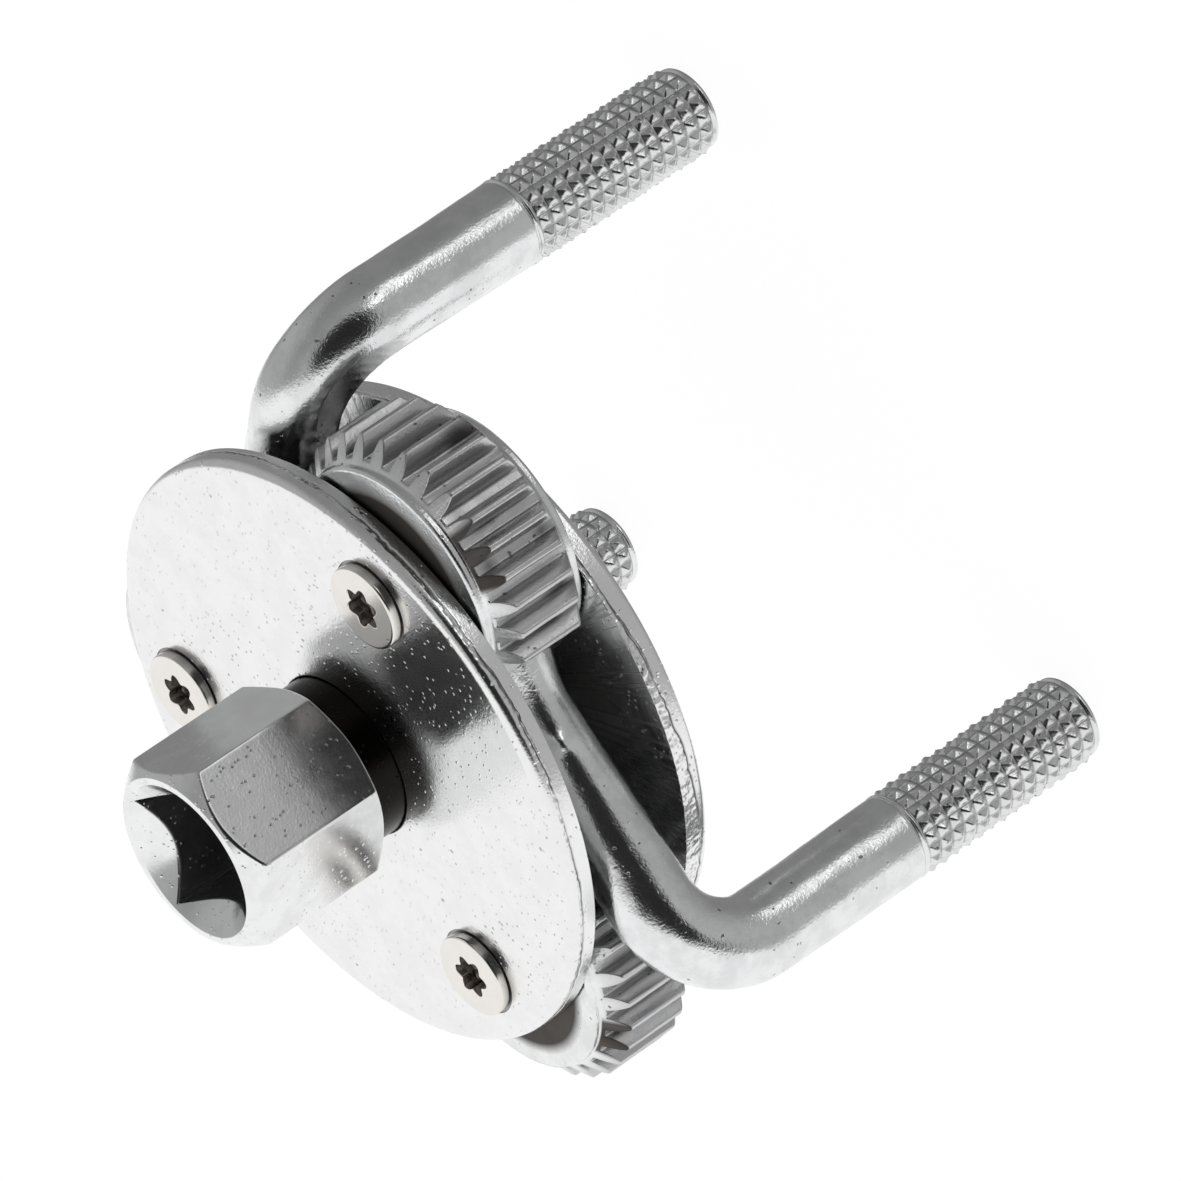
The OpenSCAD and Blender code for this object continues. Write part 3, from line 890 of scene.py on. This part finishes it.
def jawRod():
    # A tube along arm, elbow and finger. Its radius grows into the gear as a flare and has a
    # little eased noise, like a forging; the grip's pyramids stand on its last part:
    # within each cell the height falls from the middle with nearly the larger of |u| and |v|.
    straight = jaws["armLength"] - jaws["elbow"]
    kneeTop = jaws["armHeight"] - jaws["elbow"]
    per = grip["samples"]
    columns = grip["around"] * per
    phi = np.arange(columns) / columns * 2 * math.pi
    along = np.linspace(jaws["armFrom"], straight, 70)
    bend = np.linspace(0, math.pi / 2, 72)[1:]
    down = np.linspace(kneeTop, grip["length"] + 0.9, 20)[1:]
    groove = np.array([0.85, 0.75, 0.66, 0.58, 0.50, 0.42, 0.34, 0.24, 0.16, 0.08]) + grip["length"]
    grooveRadius = np.array([3.83, 3.80, 3.72, 3.70, 3.78, 3.86, 3.88, 3.86, 3.74, 3.58])
    pitch = (grip["length"] - grip["endFlat"]) / grip["rows"]
    cells = grip["length"] - np.arange(grip["rows"] * per + 1) / per * pitch
    end = np.array([0.72, 0.62, 0.5, 0.38, 0.26, 0.16, 0.08, 0.03, 0.0, 0.0, 0.0])
    endRadius = np.array([3.5, 3.62, 3.66, 3.64, 3.56, 3.44, 3.3, 3.12, 2.9, 1.5, 0.02])
    z = np.concatenate([down, groove, cells, end])
    kneeX, kneeZ = straight + jaws["elbow"] * np.sin(bend), kneeTop + jaws["elbow"] * np.cos(bend)
    x = np.concatenate([along, kneeX, np.full(len(z), jaws["armLength"])])
    heights = np.concatenate([np.full(len(along), jaws["armHeight"]), kneeZ, z])
    tilt = np.concatenate([np.zeros(len(along)), bend, np.full(len(z), math.pi / 2)])
    radius = np.interp(along, [11, straight], [jaws["armRoot"], jaws["armElbow"]])
    growth, full, gone = jaws["flare"]
    radius += growth * (1 - between(along, full, gone))
    kneeRadius = jaws["armElbow"] + 0.04
    radius = np.concatenate(
        [
            radius,
            np.linspace(jaws["armElbow"], kneeRadius, len(bend)),
            np.linspace(kneeRadius, grooveRadius[0], len(down)),
            grooveRadius,
        ]
    )
    body = np.broadcast_to(radius[:, None], (len(radius), columns)).copy()
    steps = np.hypot(np.diff(x[: len(radius)]), np.diff(heights[: len(radius)]))
    length = np.concatenate([[0], np.cumsum(steps)])[:, None]
    turn = phi[None, :] / (2 * math.pi) * 12
    body += 0.035 * easedNoise(turn, length / 4, 41, 12)
    body += 0.012 * easedNoise(turn * 3, length / 1.2, 42, 36)
    u = (np.arange(columns) % per) / per * 2 - 1
    v = (np.arange(len(cells)) % per) / per * 2 - 1
    row = np.minimum(np.arange(len(cells)) // per, grip["rows"] - 1)
    column = np.arange(columns) // per
    side = (np.abs(u[None, :]) ** 9 + np.abs(v[:, None]) ** 9) ** (1 / 9)
    height, place, beadLength, beadTurn, beadWidth = jaws["bead"]
    body += height * np.exp(
        -(((length - place) / beadLength) ** 2) - ((phi[None, :] - beadTurn) / beadWidth) ** 2
    )
    jitter = np.random.default_rng(7).uniform(-1, 1, (grip["rows"], grip["around"]))
    peak = 1 + 0.15 * jitter[row[:, None], column[None, :]]
    rise = np.clip((1 - side) * peak, 0, 0.94)
    knurl = grip["groove"] + (grip["crest"] - grip["groove"]) * rise
    tip = np.broadcast_to(endRadius[:, None], (len(end), columns))
    body = np.concatenate([body, knurl, tip])
    a = phi[None, :]
    outX, outZ = np.sin(tilt)[:, None], np.cos(tilt)[:, None]
    points = np.stack(
        [
            x[:, None] + body * np.cos(a) * outX,
            body * np.sin(a) + 0 * outX,
            heights[:, None] + body * np.cos(a) * outZ,
        ],
        -1,
    )
    # the milled flat: nothing stands further out than a plane that rises again towards its two ends
    travel = ((points[..., 0] - milled["along"]) - (points[..., 2] - milled["height"])) / math.sqrt(2)
    sunk = milled["depth"] * (1 - (travel / (milled["length"] / 2)) ** 2)
    arcs = np.hypot(points[..., 0] - milled["arcsFrom"][0], points[..., 2] - milled["arcsFrom"][1])
    flat = -(jaws["armElbow"] - sunk)
    cut = (points[..., 1] < flat) & (sunk > 0) & (heights[:, None] > 34)
    ripple = milled["arcs"] * np.sin(arcs / milled["pitch"] * 2 * math.pi)
    points[..., 1] = np.where(cut, flat + ripple, points[..., 1])
    dirtAndShade = np.zeros(body.shape)
    start = len(radius)
    dirtAndShade[start : start + len(cells)] = grip["dirtAndShade"] * between(side, 0.93, 1.0)
    dull = 1.0 * cut
    dull[start : start + len(cells)] = grip["dull"]
    return shell(points), np.concatenate([dirtAndShade.ravel(), [0, 0]]), np.concatenate([dull.ravel(), [0, 0]])


rodSkin, rodDirt, rodDull = jawRod()
for k, letter in enumerate("abc"):
    # the gear's darkening holds the teeth's marks and the boss's painted shadow
    gearSkin, gearDirt, gearDull = jawGear(stains[letter], 33 + k)
    skins = []
    for points, quads, fans in (gearSkin, rodSkin):
        placed = turned(points, -jaws["restAngle"])
        placed[:, 0] += layout["pivotRadius"]
        skins.append((turned(placed, 120 * k), quads, fans))
    values = {"dirtAndShade": np.concatenate([gearDirt, rodDirt]), "dull": np.concatenate([gearDull, rodDull])}
    piece = makePiece("jaw_" + letter + "_forging", skins, materials["jaw"], values)
    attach(piece, "swing_" + letter)
    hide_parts("jaw_" + letter)
print("jaws made")


screws = {
    "head": 3.7,
    "height": 0.9,
    "shank": 2.0,
    "length": 7.15,
    "recess": 3.7,  # across the points of the six lobes
    "depth": 1.45,
    "rim": 0.22,
    "frontTurns": (12, 31, 50),  # how each one's recess stands, in degrees
    "rearTurns": (5, 24, 41),
}


def screwSkin(turn):
    # The six-lobed recess, the face, the rounded rim, the seat and the shank as one path for each
    # angle. The recess's radius swings between its core and its points as an eased cosine of six turns.
    angles = np.arange(0, 360, 1.5)
    core, points = screws["recess"] * 0.35, screws["recess"] / 2
    swing = 0.5 + 0.5 * np.cos(np.radians(6 * (angles - turn)))
    socket = core + (points - core) * swing**0.8
    one = np.ones_like(angles)

    def ring(r, z):
        return np.stack([r * one, z * one], -1)

    top = screws["height"]
    corners = [
        ring(0.02, top - screws["depth"] - 0.35),
        ring(socket * 0.9, top - screws["depth"]),
        ring(socket, top - screws["depth"] + 0.1),
        ring(socket, top),
        ring(screws["head"] - 0.02, top),
        ring(screws["head"], 0.1),
        ring(screws["head"] - 0.12, 0.0),
        ring(screws["shank"], 0.0),
        ring(screws["shank"], -screws["length"] + 0.3),
        ring(screws["shank"] - 0.3, -screws["length"]),
        ring(0.02, -screws["length"]),
    ]
    path = roundedPath(corners, [0, 0.1, 0.05, 0.09, screws["rim"], 0.06, 0.04, 0.1, 0.1, 0.1, 0], 5)
    # darker towards the bottom of the six-lobed recess
    dirtAndShade = between(top - 0.12 - path[..., 1], 0, 0.5) * (path[..., 0] <= socket + 0.01) * 0.75
    # painted shadow: the foot of the head's side, where it meets the plate, is darkened
    underRim = between(path[..., 0], screws["head"] - 0.1, screws["head"])
    dirtAndShade = np.maximum(dirtAndShade, 0.5 * underRim * between(top - 0.25 - path[..., 1], 0, 0.3))
    return shell(revolved(path, angles), flip=True), np.concatenate([dirtAndShade.ravel(), [0.8, 0]])


for k, letter in enumerate("abc"):
    for where, direction in (("front", 1), ("rear", -1)):
        (points, quads, fans), dirtAndShade = screwSkin(screws[where + "Turns"][k])
        placed = points.copy()
        placed[:, 2] = layout[where + "Face"] + direction * points[:, 2]
        placed[:, 0] += layout["pivotRadius"]
        if direction < 0:
            quads, fans = quads[:, ::-1], fans[:, ::-1]
        skin = (turned(placed, 120 * k), quads, fans)
        piece = makePiece(where + "_screw_" + letter + "_plated", [skin], materials["screw"], {"dirtAndShade": dirtAndShade})
        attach(piece, "housing")
        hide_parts(where + "_screw_" + letter)
print("screws made")

# each node's name holds the name of its finish: plate, hub, jaw, screw or post
for name, node in nodes.items():
    finish = next(material for key, material in materials.items() if key in name)
    for entry in node.material_slots:
        entry.link = "DATA"
        entry.material = finish
    if not node.material_slots:
        node.data.materials.append(finish)


studio = {
    "cameraPlace": (702.49, -333.41, 443.10),  # millimetres
    "cameraTurn": (-45.924, 46.826, -80.158),  # degrees, in XYZ order
    "lens": 332.3,
    "sensor": 36.0,
    "clip": (0.05, 20.0),  # metres
    "floorHalf": 6.0,  # metres
    "floorDrop": 0.0002,  # keeps the floor clear of the finger ends
    "paper": 0.1,
    "paperGlow": 0.95,
    "up": (0.828, 0.507, -0.24),  # square to the bright table that the light bounces from
    "tableEdge": (-0.26, -0.06),
    "table": 1.0,
    "leftWall": (0.1, -0.95, 0.2),
    "wallLeft": 0.24,
    "wallRight": 0.46,
    # each part of the room: its direction, the cosines at its edge and middle, and its brightness
    "parts": (
        ((-0.246, 0.86, 0.447), 0.55, 0.95, 0.42),  # a paler wall
        ((0.80, -0.46, 0.42), 0.80, 0.88, 0.02),  # two dark openings
        ((0.66, -0.70, 0.25), 0.88, 0.93, 0.02),
        ((0.884, 0.06, -0.465), 0.987, 0.997, 1.3),  # two softboxes
        ((0.95, -0.14, -0.30), 0.984, 0.995, 1.9),
    ),
}

camera = bpy.data.objects.new("camera", bpy.data.cameras.new("camera"))
bpy.context.scene.collection.objects.link(camera)
camera.data.lens, camera.data.sensor_width = studio["lens"], studio["sensor"]
camera.data.clip_start, camera.data.clip_end = studio["clip"]
camera.location = [v * metresPerMm for v in studio["cameraPlace"]]
camera.rotation_euler = [math.radians(v) for v in studio["cameraTurn"]]
bpy.context.scene.camera = camera

floorMesh = bpy.data.meshes.new("floor")
half, drop = studio["floorHalf"], studio["floorDrop"]
floorCorners = [(x * half, y * half, -drop) for x, y in ((-1, -1), (1, -1), (1, 1), (-1, 1))]
floorMesh.from_pydata(floorCorners, [], [(0, 1, 2, 3)])
floor = bpy.data.objects.new("floor", floorMesh)
bpy.context.scene.collection.objects.link(floor)
floor.visible_glossy = False
paper = bpy.data.materials.new("paper")
paper.use_nodes = True
paperShader = paper.node_tree.nodes["Principled BSDF"]
paperShader.inputs["Base Color"].default_value = (*(studio["paper"],) * 3, 1)
paperShader.inputs["Roughness"].default_value = 1.0
paperShader.inputs["Specular IOR Level"].default_value = 0.0
paperShader.inputs["Emission Color"].default_value = (1, 1, 1, 1)
paperShader.inputs["Emission Strength"].default_value = studio["paperGlow"]
floorMesh.materials.append(paper)

# The surroundings as a function of direction: grey walls, a paler one, two dark openings behind
# the camera and two softboxes, and over all of them a bright table.
bpy.context.scene.view_settings.view_transform = "Standard"  # keeps the paper white
world = bpy.data.worlds.new("studio")
bpy.context.scene.world = world
world.use_nodes = True
tree = world.node_tree
direction = tree.nodes.new("ShaderNodeTexCoord").outputs["Generated"]


def towards(vector):
    # the cosine of the angle between the direction looked in and a fixed one
    node = addNode(tree, "ShaderNodeVectorMath", {"operation": "DOT_PRODUCT"})
    tree.links.new(direction, node.inputs[0])
    node.inputs[1].default_value = Vector(vector).normalized()
    return node.outputs["Value"]


def patchOf(surround, direction, low, high, brightness):
    # a soft-edged round part of the room, from the cosine low at its edge to high at its middle
    return mixed(tree, stepped(tree, towards(direction), low, high), surround, (brightness,) * 3)


walls = stepped(tree, towards(studio["leftWall"]), -0.7, 0.7)
surround = mixed(tree, walls, (studio["wallLeft"],) * 3, (studio["wallRight"],) * 3)
for part in studio["parts"]:
    surround = patchOf(surround, *part)
aboveTable = stepped(tree, towards(studio["up"]), *studio["tableEdge"])
surround = mixed(tree, aboveTable, (studio["table"],) * 3, surround)
tree.links.new(surround, tree.nodes["Background"].inputs["Color"])
print("camera, floor and light made")
